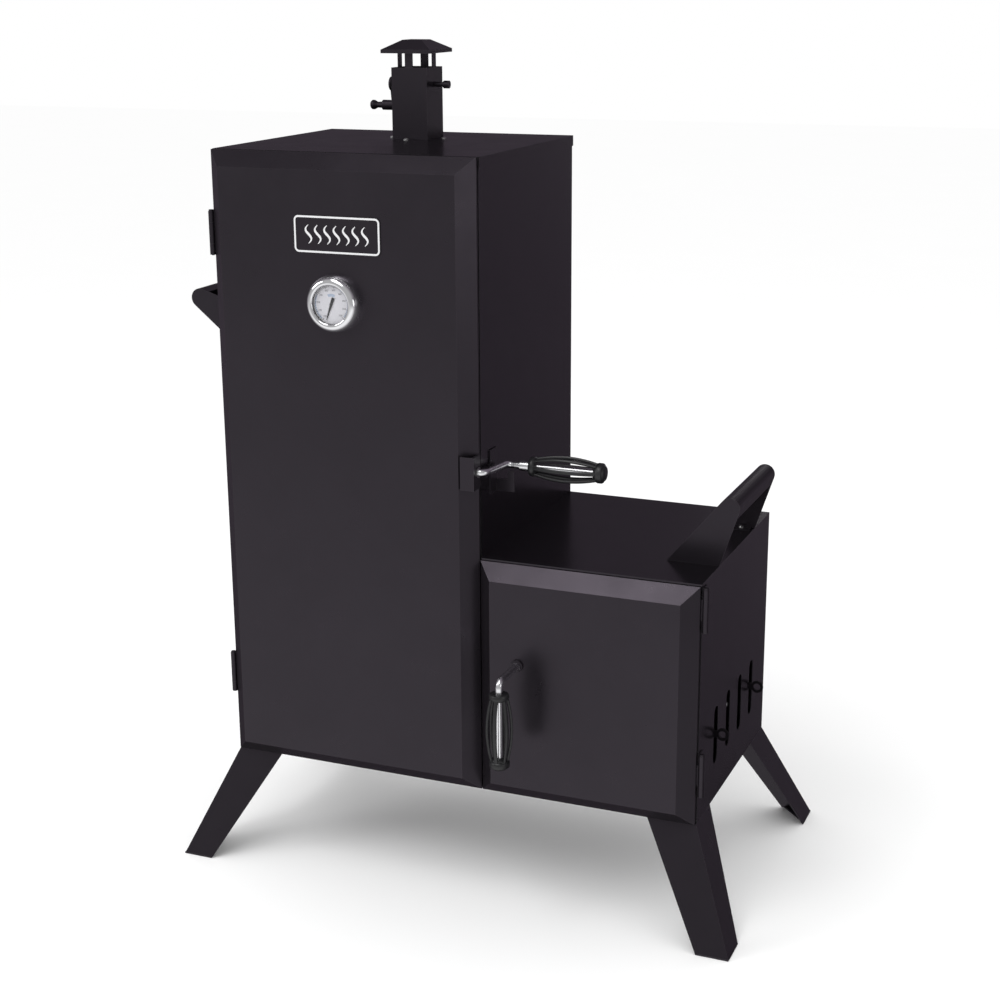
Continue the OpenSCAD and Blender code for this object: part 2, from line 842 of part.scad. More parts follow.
// Square tube welded to a flange under the roof, bored for the damper's shaft
module chimney_tube() {
    z0 = -sheet_t - plate_t;
    inner = tube_w - 2 * tube_wall;
    color(c_black) at_body() translate([chamber_w / 2, chimney_y, chamber_h]) difference() {
        union() {
            translate([-tube_w / 2, -tube_w / 2, z0]) cube([tube_w, tube_w, tube_top - z0]);
            translate([-flange_w / 2, -flange_w / 2, z0]) cube([flange_w, flange_w, plate_t]);
        }
        translate([-inner / 2, -inner / 2, z0 - 1]) cube([inner, inner, tube_top - z0 + 2]);
        rod_x(-tube_w, tube_w, 0, damper_z, shaft_r + running);
        translate([0, 0, z0 - 1]) flange_holes(plate_t + 2);
    }
}

// Hipped rain cap on four flat posts that stand on the tube's walls
module chimney_cap() {
    post_w = 12;
    in_cap = 10.6; // how far the posts reach up into the cap's slope
    color(c_black) at_body() translate([chamber_w / 2, chimney_y, chamber_h]) {
        for (a = [0:90:270]) rotate(a)
            translate([-post_w / 2, -tube_w / 2, tube_top])
                cube([post_w, tube_wall, post_h + in_cap]);
        translate([0, 0, tube_top + post_h]) difference() {
            cap_solid(0);
            translate([0, 0, -sheet_t]) cap_solid(sheet_t);
        }
    }
}

// Square-based roof with a short upright lip, drawn as two crossed extrusions
module cap_solid(s) {
    b = cap_w / 2 - s;
    c = cap_top_w / 2 - s / 2;
    outline = [
        [-b, -eps], [b, -eps], [b, cap_lip], [c, cap_lip + cap_rise],
        [-c, cap_lip + cap_rise], [-b, cap_lip]
    ];
    intersection() {
        along_x(-b, 2 * b) polygon(outline);
        along_y(-b, 2 * b) polygon(outline);
    }
}

// Butterfly on its shaft; the shaft's end shows on the chimney's right
module damper_plate() {
    half = tube_w / 2 - 3.5;
    color(c_black) at_body() translate([chamber_w / 2, chimney_y, chamber_h + damper_z]) {
        rod_x(-tube_w / 2 - lever_out - 2.5, tube_w / 2 + 15, 0, 0, shaft_r);
        rod_x(tube_w / 2 + 15 - eps, tube_w / 2 + 23, 0, 0, shaft_r + 2);
        translate([-half, -1, -half + 2]) cube([2 * half, 2, 2 * half - 4]);
    }
}

// Lever with a round boss, and the turned knob at its lower end
module damper_lever() {
    tilt = 10;
    arm = 31;
    x0 = -tube_w / 2 - lever_out;
    color(c_black) at_body() translate([chamber_w / 2, chimney_y, chamber_h + damper_z]) {
        difference() {
            rod_x(x0 - 1.5, x0 + 1.5, 0, 0, 10);
            rod_x(x0 - 3, x0 + 3, 0, 0, shaft_r);
        }
        rotate([tilt, 0, 0]) {
            block([x0 - 1.5, -5, -arm], [x0 + 1.5, 5, -shaft_r - 2]);
            translate([x0 + 1.5, 0, -arm]) rotate([0, -90, 0]) rotate_extrude()
                polygon([[0, 0], [7.2, 0], [7.2, 19], [4.6, 20.5], [4.2, 28], [6.8, 33],
                    [6.8, 36], [5.2, 38], [0, 38]]);
        }
    }
}

// Legs

// A box with a lower and an upper four-cornered face
module loft(lower, upper) {
    polyhedron(
        points = concat(lower, upper),
        faces = [[0, 1, 2, 3], [7, 6, 5, 4], [1, 0, 4, 5], [2, 1, 5, 6], [3, 2, 6, 7], [0, 3, 7, 4]]
    );
}

// Splayed angle leg for the front left corner: the corner is at the origin, going down
module leg() {
    t = plate_t;
    top_x = 70;
    top_y = 68;
    foot_x = 46;
    foot_y = 49;
    sx = -leg_splay_x;
    sy = -leg_splay_y;
    h = -leg_h;
    loft(
        [[sx, sy, h], [sx + foot_x, sy, h], [sx + foot_x, sy + t, h], [sx, sy + t, h]],
        [[0, 0, 0], [top_x, 0, 0], [top_x, t, 0], [0, t, 0]]
    );
    loft(
        [[sx, sy, h], [sx + t, sy, h], [sx + t, sy + foot_y, h], [sx, sy + foot_y, h]],
        [[0, 0, 0], [t, 0, 0], [t, top_y, 0], [0, top_y, 0]]
    );
    translate([0, 0, -t]) difference() {
        linear_extrude(t) polygon([[0, 0], [top_x, 0], [0, top_y]]);
        for (p = leg_bolt_places) translate([p[0], p[1], -1]) cylinder(h = t + 2, r = 3.2);
    }
    translate([sx, sy, h]) linear_extrude(t) polygon([[0, 0], [foot_x - 2, 0], [0, foot_y - 2]]);
}

leg_bolt_places = [[16, 16], [40, 14], [14, 40]];

// Puts a child drawn for the front left corner at one of the four corners
module at_corner(right, rear) {
    translate([right ? full_w : 0, rear ? chamber_d : 0, 0])
        mirror([right ? 1 : 0, 0, 0]) mirror([0, rear ? 1 : 0, 0]) children();
}

module leg_holes(z, t) {
    for (right = [false, true], rear = [false, true]) at_corner(right, rear)
        for (p = leg_bolt_places) translate([p[0], p[1], z - 1]) cylinder(h = t + 2, r = 3.2);
}

module leg_front_left() { color(c_black) at_body() at_corner(false, false) leg(); }
module leg_front_right() { color(c_black) at_body() at_corner(true, false) leg(); }
module leg_rear_left() { color(c_black) at_body() at_corner(false, true) leg(); }
module leg_rear_right() { color(c_black) at_body() at_corner(true, true) leg(); }

// Bolts with round heads below and nuts above, three to a leg
module leg_bolts() {
    color(c_steel) at_body()
        for (right = [false, true], rear = [false, true]) at_corner(right, rear)
            for (p = leg_bolt_places) translate([p[0], p[1], 0]) {
                translate([0, 0, -plate_t - 3]) cylinder(h = 3, r = 5.5);
                translate([0, 0, -plate_t - eps]) cylinder(h = plate_t + 8, r = 3);
                translate([0, 0, sheet_t]) cylinder(h = 4.5, r = 5.6, $fn = 6);
            }
}

// A round screw head with a short shank, drawn with the head on +Z
module screw(shank) {
    head_r = 4.2;
    intersection() {
        cylinder(h = 3, r = head_r);
        translate([0, 0, -2.2]) sphere(r = 5.2);
    }
    translate([0, 0, -shank]) cylinder(h = shank + eps, r = 2);
}

// Screws of the chimney flange and the carry handles
module body_screws() {
    handle_ends = [handle_y + handle_screw_in, handle_y + handle_len - handle_screw_in];
    color(c_chrome) at_body() {
        for (a = [0:90:270])
            translate([chamber_w / 2, chimney_y, chamber_h]) rotate(a)
                translate([0, -flange_screw, 0]) screw(sheet_t + plate_t - 0.1);
        for (x = handle_screws, y = handle_ends)
            translate([full_w - handle_base + x, y, firebox_h + plate_t]) screw(1.9);
        for (z = handle_screws, y = handle_ends)
            translate([-plate_t, y, side_handle_z + z]) rotate([0, -90, 0]) screw(1.9);
    }
}

chamber_left_panel();
chamber_right_panel();
chamber_back_panel();
chamber_top_panel();
chamber_floor_panel();
chamber_front_frame();
chamber_door();
badge_plate();
gauge_case();
gauge_dial();
gauge_pointer();
gauge_glass();
gauge_bezel();
gauge_nut();
chamber_hinge_body_leaves();
chamber_hinge_door_leaves();
chamber_hinge_pins();
chamber_latch_bracket();
chamber_latch_rod();
chamber_latch_grip();
chamber_latch_clip();
latch_keeper();
side_carry_handle();
grate_rack_left();
grate_rack_right();
cooking_grate_1();
cooking_grate_2();
cooking_grate_3();
cooking_grate_4();
cooking_grate_5();
cooking_grate_6();
water_pan();
firebox_right_panel();
firebox_back_panel();
firebox_top_panel();
firebox_floor_panel();
firebox_front_frame();
firebox_door();
firebox_hinge_body_leaves();
firebox_hinge_door_leaves();
firebox_hinge_pins();
firebox_latch_rod();
firebox_latch_grip();
firebox_latch_tongue();
firebox_carry_handle();
air_shutter();
shutter_guides();
charcoal_grate();
ash_pan();
chimney_tube();
chimney_cap();
damper_plate();
damper_lever();
leg_front_left();
leg_front_right();
leg_rear_left();
leg_rear_right();
leg_bolts();
body_screws();
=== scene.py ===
import json
import math

import bmesh
import bpy
from mathutils import Matrix, Vector


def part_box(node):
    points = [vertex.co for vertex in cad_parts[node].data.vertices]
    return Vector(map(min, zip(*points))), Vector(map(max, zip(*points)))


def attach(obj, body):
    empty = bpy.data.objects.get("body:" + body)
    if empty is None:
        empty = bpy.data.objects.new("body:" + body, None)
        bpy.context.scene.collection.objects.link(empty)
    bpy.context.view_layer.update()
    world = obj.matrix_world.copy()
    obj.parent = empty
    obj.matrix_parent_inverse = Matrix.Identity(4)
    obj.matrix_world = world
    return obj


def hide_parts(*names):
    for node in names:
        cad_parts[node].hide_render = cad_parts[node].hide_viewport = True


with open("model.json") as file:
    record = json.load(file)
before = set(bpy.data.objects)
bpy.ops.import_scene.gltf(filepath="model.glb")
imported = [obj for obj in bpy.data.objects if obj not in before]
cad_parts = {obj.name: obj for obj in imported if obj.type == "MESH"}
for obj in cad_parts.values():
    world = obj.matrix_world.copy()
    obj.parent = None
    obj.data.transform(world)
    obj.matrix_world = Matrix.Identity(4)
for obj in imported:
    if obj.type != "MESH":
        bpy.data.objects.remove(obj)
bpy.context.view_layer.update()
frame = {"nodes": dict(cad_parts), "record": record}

# ---------------------------------------------------------------------------
# Places, all worked out from the frame
# ---------------------------------------------------------------------------

MM = 0.001
JOINTS = {j["name"]: j for j in frame["record"]["behaviour"]["joints"]}


def joint_pos(name):
    """A point on a joint's axis, from the record."""
    return Vector(JOINTS[name]["pos_m"])


def low(node):
    """The low corner of a CAD node's box."""
    return Vector(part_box(node)[0])


def high(node):
    """The high corner of a CAD node's box."""
    return Vector(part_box(node)[1])


def middle(node):
    """The centre of a CAD node's box."""
    return (low(node) + high(node)) / 2


# The body's front left bottom corner: the hinge axis gives its y
CORNER = Vector((
    low("chamber_left_panel").x,
    joint_pos("chamber_door_swing").y,
    low("chamber_left_panel").z,
))


# ---------------------------------------------------------------------------
# Node helpers for procedural materials
# ---------------------------------------------------------------------------

# Sockets of a colour Mix node, which share their names with the sockets of its other types
MIX_A, MIX_B, MIX_RESULT = 6, 7, 2


class Nodes:
    """A material's node tree with short calls for the nodes used here.

    Noise scales count cells in a metre, and distances are in metres.
    """

    def __init__(self, name):
        self.mat = bpy.data.materials.new(name)
        self.mat.use_nodes = True
        self.tree = self.mat.node_tree
        self.bsdf = self.tree.nodes["Principled BSDF"]
        self.coord = self.tree.nodes.new("ShaderNodeTexCoord").outputs["Object"]

    def link(self, a, b):
        """Joins an output to an input."""
        self.tree.links.new(a, b)

    def set(self, **values):
        """Sets inputs of the surface shader, with _ for each space in their names."""
        for key, value in values.items():
            self.bsdf.inputs[key.replace("_", " ")].default_value = value

    def stretched(self, scale):
        """Coordinates scaled along each axis."""
        node = self.tree.nodes.new("ShaderNodeMapping")
        node.inputs["Scale"].default_value = scale
        self.link(self.coord, node.inputs["Vector"])
        return node.outputs["Vector"]

    def noise(self, scale, detail=3.0, rough=0.5, vector=None):
        """Cloudy noise, about 0.3 to 0.7."""
        node = self.tree.nodes.new("ShaderNodeTexNoise")
        node.inputs["Scale"].default_value = scale
        node.inputs["Detail"].default_value = detail
        node.inputs["Roughness"].default_value = rough
        self.link(vector or self.coord, node.inputs["Vector"])
        return node.outputs["Fac"]

    def voronoi(self, scale):
        """The distance to the nearest of many scattered points."""
        node = self.tree.nodes.new("ShaderNodeTexVoronoi")
        node.inputs["Scale"].default_value = scale
        self.link(self.coord, node.inputs["Vector"])
        return node.outputs["Distance"]

    def remap(self, fac, a, b, lo, hi):
        """Maps the range a to b onto lo to hi, and clamps it."""
        node = self.tree.nodes.new("ShaderNodeMapRange")
        for key, value in (("From Min", a), ("From Max", b), ("To Min", lo), ("To Max", hi)):
            node.inputs[key].default_value = value
        self.link(fac, node.inputs["Value"])
        return node.outputs["Result"]

    def mix(self, fac, c1, c2):
        """Blends two colours, each a tuple or another node's output."""
        node = self.tree.nodes.new("ShaderNodeMix")
        node.data_type = "RGBA"
        self.link(fac, node.inputs["Factor"])
        for socket, value in ((node.inputs[MIX_A], c1), (node.inputs[MIX_B], c2)):
            if isinstance(value, tuple):
                socket.default_value = (*value, 1)
            else:
                self.link(value, socket)
        return node.outputs[MIX_RESULT]

    def bump(self, height, strength, distance, below=None):
        """Bumps the surface's normal, over an earlier bump if one is given."""
        node = self.tree.nodes.new("ShaderNodeBump")
        node.inputs["Strength"].default_value = strength
        node.inputs["Distance"].default_value = distance
        self.link(height, node.inputs["Height"])
        if below is not None:
            self.link(below, node.inputs["Normal"])
        self.link(node.outputs["Normal"], self.bsdf.inputs["Normal"])
        return node.outputs["Normal"]

    def edges(self, radius):
        """About 1 along rounded or sharp edges, 0 on open faces."""
        bevel = self.tree.nodes.new("ShaderNodeBevel")
        bevel.samples = 4
        bevel.inputs["Radius"].default_value = radius
        geometry = self.tree.nodes.new("ShaderNodeNewGeometry")
        dot = self.tree.nodes.new("ShaderNodeVectorMath")
        dot.operation = "DOT_PRODUCT"
        self.link(bevel.outputs["Normal"], dot.inputs[0])
        self.link(geometry.outputs["Normal"], dot.inputs[1])
        return self.remap(dot.outputs["Value"], 0.97, 0.80, 0.0, 1.0)


# Paler colour along edges: partly the coat worn thin there, partly a painted highlight
EDGE_WEAR_AND_HIGHLIGHT = (0.048, 0.047, 0.049)
COAT_SHEEN_TINT = (0.94, 0.82, 0.98, 1.0)


def powder_coat(name, tone, rough, peel=0.10, grain=0.05, gloss=0.48):
    """Black baked coating: fine grain, slight orange peel, uneven sheen, and paler edges that are partly
    worn thin coat and partly a painted highlight.
    """
    n = Nodes(name)
    patches = n.noise(5.0, 4.0, 0.6)
    dark = tuple(c * 0.80 for c in tone)
    light = tuple(c * 1.25 for c in tone)
    body = n.mix(n.remap(patches, 0.3, 0.7, 0.0, 1.0), dark, light)
    specks = n.remap(n.noise(2600.0, 2.0, 0.6), 0.60, 0.78, 0.0, 0.5)
    speckled = n.mix(specks, body, tuple(c * 2.2 for c in tone))
    # Paler edges: partly worn coat, partly painted highlight
    edge_mask = n.edges(0.0012)
    coat_with_edge_wear_and_highlight = n.mix(n.remap(edge_mask, 0.0, 1.0, 0.0, 0.35), speckled, EDGE_WEAR_AND_HIGHLIGHT)
    n.link(coat_with_edge_wear_and_highlight, n.bsdf.inputs["Base Color"])
    sheen = n.remap(n.noise(22.0, 4.0, 0.65), 0.25, 0.75, rough - 0.03, rough + 0.04)
    n.link(sheen, n.bsdf.inputs["Roughness"])
    n.set(Specular_IOR_Level=gloss, Specular_Tint=COAT_SHEEN_TINT)
    below = n.bump(n.noise(150.0, 2.0), peel, 0.0004)
    n.bump(n.noise(1500.0, 3.0, 0.6), grain, 0.0001, below)
    return n.mat


def chrome(name, rough=0.07):
    """Bright plating with faint hairlines and fingerprints in its gloss."""
    n = Nodes(name)
    n.set(Metallic=1.0)
    cloud = n.noise(60.0, 4.0, 0.6)
    n.link(n.mix(cloud, (0.86, 0.86, 0.885), (0.94, 0.94, 0.96)), n.bsdf.inputs["Base Color"])
    n.link(n.remap(cloud, 0.3, 0.8, rough, rough + 0.09), n.bsdf.inputs["Roughness"])
    n.bump(n.noise(900.0, 2.0, 0.5, n.stretched((1.0, 6.0, 1.0))), 0.04, 0.0001)
    return n.mat


def zinc(name):
    """Zinc-plated steel: pale grey with a mottled, slightly brushed finish."""
    n = Nodes(name)
    n.set(Metallic=1.0)
    mottle = n.noise(240.0, 4.0, 0.6)
    n.link(n.mix(mottle, (0.34, 0.345, 0.35), (0.62, 0.62, 0.61)), n.bsdf.inputs["Base Color"])
    n.link(n.remap(mottle, 0.2, 0.8, 0.26, 0.44), n.bsdf.inputs["Roughness"])
    n.bump(n.noise(700.0, 3.0, 0.6, n.stretched((1.0, 1.0, 9.0))), 0.12, 0.0002)
    return n.mat


def enamel(name):
    """Glossy black enamel with fine white flecks."""
    n = Nodes(name)
    flecks = n.remap(n.voronoi(420.0), 0.10, 0.05, 0.0, 1.0)
    thinned = n.tree.nodes.new("ShaderNodeMath")
    thinned.operation = "MULTIPLY"
    n.link(flecks, thinned.inputs[0])
    n.link(n.remap(n.noise(60.0, 3.0), 0.45, 0.62, 0.0, 1.0), thinned.inputs[1])
    n.link(n.mix(thinned.outputs[0], (0.012, 0.012, 0.014), (0.55, 0.55, 0.56)),
           n.bsdf.inputs["Base Color"])
    n.link(n.remap(n.noise(30.0), 0.3, 0.7, 0.10, 0.20), n.bsdf.inputs["Roughness"])
    n.bump(n.noise(90.0, 2.0), 0.08, 0.0004)
    return n.mat


def cast_iron(name):
    """Dark seasoned iron with a sandy skin and faint brown heat stains."""
    n = Nodes(name)
    stain = n.noise(28.0, 5.0, 0.65)
    n.link(n.mix(n.remap(stain, 0.45, 0.70, 0.0, 1.0), (0.026, 0.025, 0.024), (0.075, 0.050, 0.036)),
           n.bsdf.inputs["Base Color"])
    n.link(n.remap(stain, 0.3, 0.7, 0.48, 0.70), n.bsdf.inputs["Roughness"])
    n.set(Metallic=0.35)
    below = n.bump(n.noise(420.0, 4.0, 0.65), 0.45, 0.0006)
    n.bump(n.voronoi(1300.0), 0.25, 0.0003, below)
    return n.mat


def moulded_plastic(name):
    """Black moulded plastic: spark-eroded grain and soft wear on the ridges."""
    n = Nodes(name)
    edge_mask = n.edges(0.0010)
    cloud = n.noise(45.0, 3.0)
    body = n.mix(cloud, (0.007, 0.007, 0.008), (0.014, 0.014, 0.015))
    n.link(n.mix(n.remap(edge_mask, 0.0, 1.0, 0.0, 0.45), body, (0.07, 0.07, 0.072)),
           n.bsdf.inputs["Base Color"])
    n.link(n.remap(cloud, 0.3, 0.7, 0.30, 0.42), n.bsdf.inputs["Roughness"])
    n.bump(n.noise(1900.0, 2.0, 0.6), 0.18, 0.0002)
    return n.mat


def printed(name, colour, rough=0.5):
    """Ink or enamel with slightly uneven density."""
    n = Nodes(name)
    cloud = n.noise(320.0, 3.0, 0.6)
    n.link(n.mix(cloud, tuple(c * 0.93 for c in colour), tuple(min(1, c * 1.05) for c in colour)),
           n.bsdf.inputs["Base Color"])
    n.link(n.remap(cloud, 0.2, 0.8, rough - 0.06, rough + 0.06), n.bsdf.inputs["Roughness"])
    n.bump(n.noise(900.0, 2.0), 0.03, 0.0001)
    return n.mat


GLASS_HEAD_ON = 0.04     # share reflected by glass seen head-on
GLASS_RISE = 5.0         # power of its rise towards grazing angles


def clear_glass(name):
    """Thin clear glass: see-through, with a reflection that grows at its edges.

    The reflection is the same from both sides, so light gets out of the glass as it got in.
    """
    n = Nodes(name)
    tree = n.tree
    tree.nodes.remove(n.bsdf)
    see = tree.nodes.new("ShaderNodeBsdfTransparent")
    see.inputs["Color"].default_value = (0.985, 0.985, 0.99, 1)
    gloss = tree.nodes.new("ShaderNodeBsdfGlossy")
    tree.links.new(
        n.remap(n.noise(70.0, 3.0), 0.3, 0.7, 0.02, 0.06), gloss.inputs["Roughness"])
    facing = tree.nodes.new("ShaderNodeLayerWeight")
    rise = tree.nodes.new("ShaderNodeMath")
    rise.operation = "POWER"
    rise.inputs[1].default_value = GLASS_RISE
    tree.links.new(facing.outputs["Facing"], rise.inputs[0])
    both = tree.nodes.new("ShaderNodeMixShader")
    n.link(n.remap(rise.outputs[0], 0.0, 1.0, GLASS_HEAD_ON, 1.0), both.inputs[0])
    tree.links.new(see.outputs[0], both.inputs[1])
    tree.links.new(gloss.outputs[0], both.inputs[2])
    tree.links.new(both.outputs[0], tree.nodes["Material Output"].inputs["Surface"])
    return n.mat


# Nearly all that is seen of the black coat is its sheen, so its own colour is very dark
COAT = (0.0059, 0.0049, 0.0063)
MATERIALS = {
    "black_powder_coat": powder_coat("powder_coat", COAT, 0.29, 0.06),
    # Panels take a darker copy of the coat: the lower tone is painted shade on the sides, roofs and back;
    # their smoother, glossier finish is their own
    "panel": powder_coat("powder_coat_panel_painted_shade", tuple(c * 0.55 for c in COAT), 0.23, 0.008, 0.02, 0.52),
    "handle": powder_coat("powder_coat_handle", tuple(c * 0.9 for c in COAT), 0.31),
    "chrome": chrome("chrome_plate"),
    "plated_wire": chrome("wire_plate", 0.16),
    "zinc_steel": zinc("zinc_plate"),
    "rod": chrome("rod_plate", 0.18),
    # The shutter takes a darker copy of the coat: the lower tone is painted shade in the vent slots that
    # show it; it is also duller
    "shutter": powder_coat("powder_coat_shutter_painted_shade", tuple(c * 0.5 for c in COAT), 0.55, 0.06, 0.02,
                           0.12),
    "black_enamel": enamel("speckled_enamel"),
    "cast_grate": cast_iron("seasoned_iron"),
    "black_plastic": moulded_plastic("moulded_plastic"),
    "dial_white": printed("dial_enamel", (0.60, 0.595, 0.62), 0.42),
    "pointer_black": printed("pointer_paint", (0.018, 0.018, 0.02), 0.42),
    "clear_glass": clear_glass("gauge_glass_clear"),
    "ink_black": printed("dial_ink", (0.05, 0.05, 0.055)),
    "ink_blue": printed("dial_ink_blue", (0.36, 0.42, 0.52)),
    "ink_grey": printed("dial_ink_grey", (0.50, 0.50, 0.51)),
    "silver_print": printed("silver_print", (0.66, 0.66, 0.67), 0.34),
}


# ---------------------------------------------------------------------------
# Mesh helpers
# ---------------------------------------------------------------------------

SAME_POINT = 1e-7        # closer points are one, in metres
UPRIGHT = 0.9            # over this share of Z, an axis counts as upright
DOME = 0.6               # height of a bar's domed end, in radii


def add_object(name, bm, material, body, smooth_angle=35.0):
    """Makes the object of a bmesh, with its material and the body it rides on."""
    bmesh.ops.remove_doubles(bm, verts=bm.verts, dist=SAME_POINT)
    bmesh.ops.recalc_face_normals(bm, faces=bm.faces)
    mesh = bpy.data.meshes.new(name)
    bm.to_mesh(mesh)
    bm.free()
    obj = bpy.data.objects.new(name, mesh)
    bpy.context.scene.collection.objects.link(obj)
    mesh.materials.append(MATERIALS[material])
    shade_by_angle(obj, smooth_angle)
    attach(obj, body)
    return obj


def shade_by_angle(obj, angle):
    """Smooth shading that keeps edges over the angle sharp."""
    limit = math.radians(angle)
    bm = bmesh.new()
    bm.from_mesh(obj.data)
    for face in bm.faces:
        face.smooth = True
    for edge in bm.edges:
        if len(edge.link_faces) == 2:
            edge.smooth = edge.calc_face_angle(0.0) < limit
    bm.to_mesh(obj.data)
    bm.free()


def frame_matrix(origin, axis, side=None):
    """A placement whose local +Z runs along axis and whose +X is near side."""
    z = Vector(axis).normalized()
    ref = Vector(side) if side else (Vector((0, 0, 1)) if abs(z.z) < UPRIGHT else Vector((1, 0, 0)))
    x = (ref - z * ref.dot(z)).normalized()
    y = z.cross(x)
    matrix = Matrix((x, y, z)).transposed().to_4x4()
    matrix.translation = origin
    return matrix


def lathe(bm, profile, place, steps=64):
    """Turns (radius, height) points round local +Z. A radius of 0 closes an end."""
    rings = []
    for radius, height in profile:
        if radius <= 0:
            rings.append([bm.verts.new(place @ Vector((0, 0, height)))])
            continue
        rings.append([
            bm.verts.new(place @ Vector((
                radius * math.cos(2 * math.pi * i / steps),
                radius * math.sin(2 * math.pi * i / steps),
                height,
            )))
            for i in range(steps)
        ])
    for a, b in zip(rings, rings[1:]):
        for i in range(steps):
            j = (i + 1) % steps
            corners = [a[i % len(a)], a[j % len(a)], b[j % len(b)], b[i % len(b)]]
            unique = list(dict.fromkeys(corners))
            if len(unique) > 2:
                bm.faces.new(unique)


def sweep(bm, path, half_w, half_h, up, sides=12, power=2.4):
    """A rounded bar along a path of points: half_w across, half_h along up.

    A power of 2 gives an oval section, and a higher one a squarer section.
    """
    rings = []
    for i, point in enumerate(path):
        before = path[max(i - 1, 0)]
        after = path[min(i + 1, len(path) - 1)]
        tangent = (after - before).normalized()
        out = up[i] - tangent * up[i].dot(tangent)
        out.normalize()
        across = tangent.cross(out)
        ring = []
        for k in range(sides):
            a = 2 * math.pi * k / sides
            c = math.copysign(abs(math.cos(a)) ** (2 / power), math.cos(a))
            s = math.copysign(abs(math.sin(a)) ** (2 / power), math.sin(a))
            ring.append(bm.verts.new(point + across * half_w * c + out * half_h * s))
        rings.append(ring)
    for a, b in zip(rings, rings[1:]):
        for k in range(sides):
            m = (k + 1) % sides
            bm.faces.new((a[k], a[m], b[m], b[k]))
    bm.faces.new(list(reversed(rings[0])))
    bm.faces.new(rings[-1])


def round_bar(bm, start, end, radius, sides=12):
    """A straight round bar with domed ends."""
    axis = end - start
    length = axis.length
    dome = radius * DOME
    profile = [(0, 0), (radius * 0.7, dome * 0.3), (radius, dome)]
    profile += [(radius, length - dome), (radius * 0.7, length - dome * 0.3), (0, length)]
    lathe(bm, profile, frame_matrix(start, axis), sides)


def soften(obj, width, segments=3, angle=28.0):
    """Rounds a piece's edges a little, so that they catch the light."""
    bevel = obj.modifiers.new("rounded_edges", "BEVEL")
    bevel.width = width
    bevel.segments = segments
    bevel.limit_method = "ANGLE"
    bevel.angle_limit = math.radians(angle)
    bevel.use_clamp_overlap = True
    bevel.harden_normals = True


# ---------------------------------------------------------------------------
# CAD nodes: materials and softened edges
# ---------------------------------------------------------------------------

# Nodes that take another material than their slot's, and how far edges are rounded
PANELS = {n for n in frame["nodes"] if n.endswith("_panel")}
HANDLES = {"side_carry_handle", "firebox_carry_handle"}
RODS = {"chamber_latch_rod", "firebox_latch_rod"}
EDGE_ROUND = {
    "chamber_door": 0.9 * MM, "firebox_door": 0.9 * MM,
    "badge_plate": 0.35 * MM, "latch_keeper": 0.7 * MM,
    "chamber_latch_bracket": 0.8 * MM, "chimney_tube": 0.6 * MM, "chimney_cap": 0.5 * MM,
    "damper_lever": 0.6 * MM, "air_shutter": 0.4 * MM, "chamber_top_panel": 0.6 * MM,
    "firebox_top_panel": 0.5 * MM, "firebox_latch_tongue": 0.6 * MM,
    "chamber_hinge_body_leaves": 0.4 * MM, "chamber_hinge_door_leaves": 0.3 * MM,
    "firebox_hinge_body_leaves": 0.4 * MM, "firebox_hinge_door_leaves": 0.3 * MM,
    "ash_pan": 0.4 * MM, "charcoal_grate": 0.8 * MM, "water_pan": 0.4 * MM,
    "side_carry_handle": 0.5 * MM, "firebox_carry_handle": 0.5 * MM,
    "leg_front_left": 0.6 * MM, "leg_front_right": 0.6 * MM,
    "leg_rear_left": 0.6 * MM, "leg_rear_right": 0.6 * MM,
}


def dress_cad_nodes():
    """Gives every CAD node its procedural material, and rounds the edges that are seen."""
    slots = {s["node"]: s["material_slot"] for s in frame["record"]["subparts"]}
    for name, obj in frame["nodes"].items():
        key = slots[name]
        if name in PANELS:
            key = "panel"
        elif name in HANDLES:
            key = "handle"
        elif name in RODS:
            key = "rod"
        elif name == "air_shutter":
            key = "shutter"
        obj.data.materials.clear()
        obj.data.materials.append(MATERIALS[key])
        if name in EDGE_ROUND:
            soften(obj, EDGE_ROUND[name])


dress_cad_nodes()


# ---------------------------------------------------------------------------
# Caged grips: flared collars and bowed ribs round the bright rod
# ---------------------------------------------------------------------------

RIBS = 6
RIB_STEPS = 26
RIB_HALF_ACROSS, RIB_HALF_OUT = 2.7 * MM, 2.1 * MM
RIB_FOOT = 10.2 * MM     # a rib's distance from the axis at its ends
RIB_INSET = 2.2 * MM     # and how far short of the grip's half width its middle line stays
RIB_BOW = 0.85           # below 1, a rib bows out quickly near its ends
GRIP_BORE = 5.15 * MM
# Outlines as (radius, distance) in mm, the collar's counted from the rod's bend and the
# end piece's back from the tip
COLLAR = ((11.2, 0), (12.6, 0.5), (13.5, 2.2), (13.8, 5.0), (13.2, 7.4), (11.6, 9.0), (8.4, 9.8))
COLLAR_LENGTH = 10.0 * MM
END_PIECE = ((8.6, 16.8), (10.4, 15.6), (11.2, 13.6), (13.2, 12.6), (14, 11.2), (14, 5.4),
             (13.4, 4.2), (11.6, 3.4), (10.8, 2.2), (9.2, 0.8), (6.4, 0.1), (0, 0))
END_PIECE_LENGTH, END_BORE_STOP = 17 * MM, 7.4 * MM


